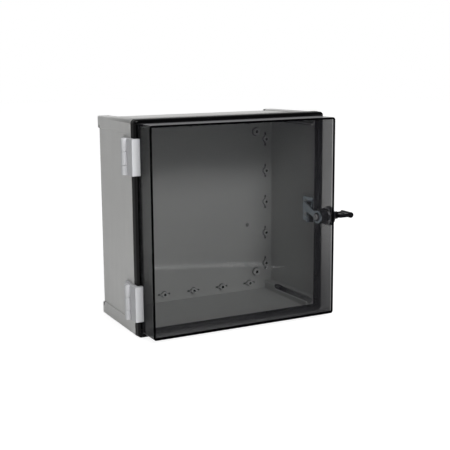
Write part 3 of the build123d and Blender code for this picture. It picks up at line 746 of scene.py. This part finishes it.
class ENCLOSURE_OT_gate_mark(bpy.types.Operator):
    """Put the mould's gate mark on the inner back wall"""

    bl_idname = "enclosure.gate_mark"
    bl_label = "Gate mark"

    def execute(self, context):
        shape = context.scene.enclosure_shape
        grid = self.button(shape.gate_place, shape.gate_radius, shape.gate_rise, shape.back_wall)
        paint = Paint("gate mark")
        grains = paint.noise(0.0006, detail=4.0)
        plastic = paint.finish({
            "Base Color": paint.mix(grains, (0.20, 0.205, 0.20), (0.33, 0.335, 0.33)),
            "Roughness": 0.5 + grains * 0.1,
        })
        new_piece("gate_mark", grid, plastic, "base", "base_plastic", poles=(0, -1))
        return {"FINISHED"}

    @staticmethod
    def button(centre, radius, rise, wall):
        """Turned profile with height over the wall h(r) = rise * (1 - (r / R)^6) * (0.55 + 0.45 (r / R)^2),
        from the pole to the rim, which sinks a little into the wall, where a flat disc closes it."""
        reach = np.linspace(0.06, 1.0, 12)[:, None]
        angle = np.linspace(0.0, 2.0 * pi, 32, endpoint=False)[None, :]
        height = rise * (1.0 - reach ** 6) * (0.55 + 0.45 * reach ** 2) - 0.05 * rise
        return np.stack([
            centre[0] + radius * reach * np.cos(angle),
            np.broadcast_to(-wall - height, (len(reach), angle.shape[1])),
            centre[1] + radius * reach * np.sin(angle),
        ], axis=-1)


class ENCLOSURE_OT_studio(bpy.types.Operator):
    """Set the floor, the lamps, the sky and the camera"""

    bl_idname = "enclosure.studio"
    bl_label = "Studio"

    def execute(self, context):
        scene, studio = context.scene, context.scene.enclosure_studio
        scene.view_settings.view_transform = "Standard"
        self.camera(scene, studio)
        self.sky(scene, studio.sky, studio.room)
        self.floor(studio)
        aim = Vector((BASE_LOW + BASE_HIGH) / 2)
        self.lamp(scene, "front lamp", studio.front_light, studio.front_place, aim, studio.front_size)
        self.lamp(scene, "side lamp", studio.side_light, studio.side_place, aim, studio.side_size)
        self.lamp(scene, "top lamp", studio.top_light, studio.top_place, aim, studio.top_size)
        return {"FINISHED"}

    @staticmethod
    def camera(scene, studio):
        lens = bpy.data.cameras.new("camera")
        lens.sensor_width, lens.lens = 36.0, studio.camera_lens
        camera = bpy.data.objects.new("camera", lens)
        scene.collection.objects.link(camera)
        turn = Matrix.Rotation(-studio.camera_azimuth, 4, "Z")
        tilt = Matrix.Rotation(pi / 2 - studio.camera_elevation, 4, "X")
        roll = Matrix.Rotation(studio.camera_roll, 4, "Z")
        camera.matrix_world = Matrix.Translation(studio.camera_place) @ turn @ tilt @ roll
        bpy.context.scene.camera = camera

    @staticmethod
    def sky(scene, level, room):
        """Grey light from all sides. Rays that see the background find it white, and glossy ones
        find it darker in front of the object."""
        world = bpy.data.worlds.new("sky")
        world.use_nodes = True
        paint = Paint.on(world.node_tree)
        generated = paint.node("ShaderNodeTexCoord").outputs["Generated"]
        way = paint.node("ShaderNodeSeparateXYZ", inputs={0: generated})
        behind = paint.step(Number(paint, way.outputs["Y"]), -0.35, 0.35)
        camera, glossy, through = paint.seen_by("Is Camera Ray", "Is Glossy Ray", "Is Transmission Ray")
        seen = paint.larger(camera, through)
        shown = level + (1.0 - level) * seen + (room - level + (1.0 - room) * behind) * glossy
        white = (1.0, 1.0, 1.0, 1.0)
        background = paint.node("ShaderNodeBackground", inputs={"Color": white, "Strength": shown})
        paint.node("ShaderNodeOutputWorld", inputs={"Surface": background.outputs[0]})
        scene.world = world

    @staticmethod
    def floor(studio):
        """A wide disc under the case, near white to a camera that sees it directly, with a faint
        shadow. Gloss alone finds a glowing strip on it, painted light that the door mirrors."""
        paint = Paint("floor")
        camera, glossy, through = paint.seen_by("Is Camera Ray", "Is Glossy Ray", "Is Transmission Ray")
        # A glowing strip that only gloss sees: painted light for the door to mirror
        turn = Vector((np.cos(studio.strip_turn), np.sin(studio.strip_turn)))
        right, ahead = paint.x - studio.strip_place[0], paint.y - studio.strip_place[1]
        along = right * turn.x + ahead * turn.y
        across = ahead * turn.x - right * turn.y
        wide = paint.within(abs(across), 0.4 * studio.strip_half, studio.strip_half)
        notch = paint.within(abs(along + studio.strip_notch), 0.0014, 0.0014) * 0.8
        bright = wide * paint.between(along, *studio.strip_ends) * (1.0 - notch)
        bright = bright + wide * paint.between(along, *studio.stub_ends) * 0.9
        # Past its end a thin streak goes on, a little to the side and turned
        past = along - studio.streak_ends[0] - 0.001
        streak = abs(across - studio.streak_rise - past * studio.streak_slope)
        thin = paint.within(streak, 0.1 * studio.strip_half, 0.4 * studio.strip_half)
        bright = bright + thin * (paint.between(along, *studio.streak_ends) * studio.streak_gain)
        direct = paint.larger(camera, through)
        seen = direct * studio.floor_white + glossy * (studio.floor_gloss + bright * studio.strip_light)
        cloud = paint.mix(paint.noise(0.6, detail=2.0), (0.80, 0.80, 0.80), (0.83, 0.83, 0.83))
        material = paint.finish({
            "Base Color": paint.mix(direct, cloud, (0.30, 0.30, 0.30)),
            "Roughness": 0.8,
            "Emission Color": paint.node("ShaderNodeCombineXYZ", inputs={0: seen, 1: seen, 2: seen}).outputs[0],
            "Emission Strength": 1.0,
            "Specular IOR Level": 0.0,
        })
        reach = np.array([0.3, 1.5, 6.0])[:, None]
        angle = np.linspace(0.0, 2.0 * pi, 64, endpoint=False)[None, :]
        grid = np.stack([
            reach * np.cos(angle), reach * np.sin(angle), np.full((len(reach), 64), BASE_LOW.z)
        ], axis=-1)
        mesh_piece("floor", grid, material, poles=(0,))

    @staticmethod
    def lamp(scene, name, power, place, aim, size):
        light = bpy.data.lights.new(name, "AREA")
        light.energy, light.shape = power, "RECTANGLE"
        light.size, light.size_y = size
        lamp = bpy.data.objects.new(name, light)
        way = (aim - Vector(place)).to_track_quat("-Z", "Y").to_matrix().to_4x4()
        lamp.matrix_world = Matrix.Translation(place) @ way
        scene.collection.objects.link(lamp)


STEPS = (
    ENCLOSURE_OT_base, ENCLOSURE_OT_door, ENCLOSURE_OT_hinges, ENCLOSURE_OT_lock, ENCLOSURE_OT_thread,
    ENCLOSURE_OT_seal, ENCLOSURE_OT_gate_mark, ENCLOSURE_OT_studio,
)
SETTINGS = {
    "enclosure_finish": EnclosureFinish,
    "enclosure_shape": EnclosureShape,
    "enclosure_studio": EnclosureStudio,
}


class ENCLOSURE_PT_sidebar(bpy.types.Panel):
    """Sizes, colours and the operators, in the order in which they are run"""

    bl_idname = "ENCLOSURE_PT_sidebar"
    bl_label = "Enclosure"
    bl_space_type = "VIEW_3D"
    bl_region_type = "UI"
    bl_category = "Enclosure"

    def draw(self, context):
        for name, group in SETTINGS.items():
            box = self.layout.box()
            for setting in group.__annotations__:
                box.prop(getattr(context.scene, name), setting)
        for step in STEPS:
            self.layout.operator(step.bl_idname)


def register():
    for group in SETTINGS.values():
        bpy.utils.register_class(group)
    for name, group in SETTINGS.items():
        setattr(bpy.types.Scene, name, PointerProperty(type=group))
    for cls in (*STEPS, ENCLOSURE_PT_sidebar):
        bpy.utils.register_class(cls)


def unregister():
    for cls in (ENCLOSURE_PT_sidebar, *reversed(STEPS)):
        bpy.utils.unregister_class(cls)
    for name, group in SETTINGS.items():
        delattr(bpy.types.Scene, name)
        bpy.utils.unregister_class(group)


def main():
    register()
    for step in STEPS:
        group, name = step.bl_idname.split(".")
        getattr(getattr(bpy.ops, group), name)()


if __name__ == "__main__":
    main()
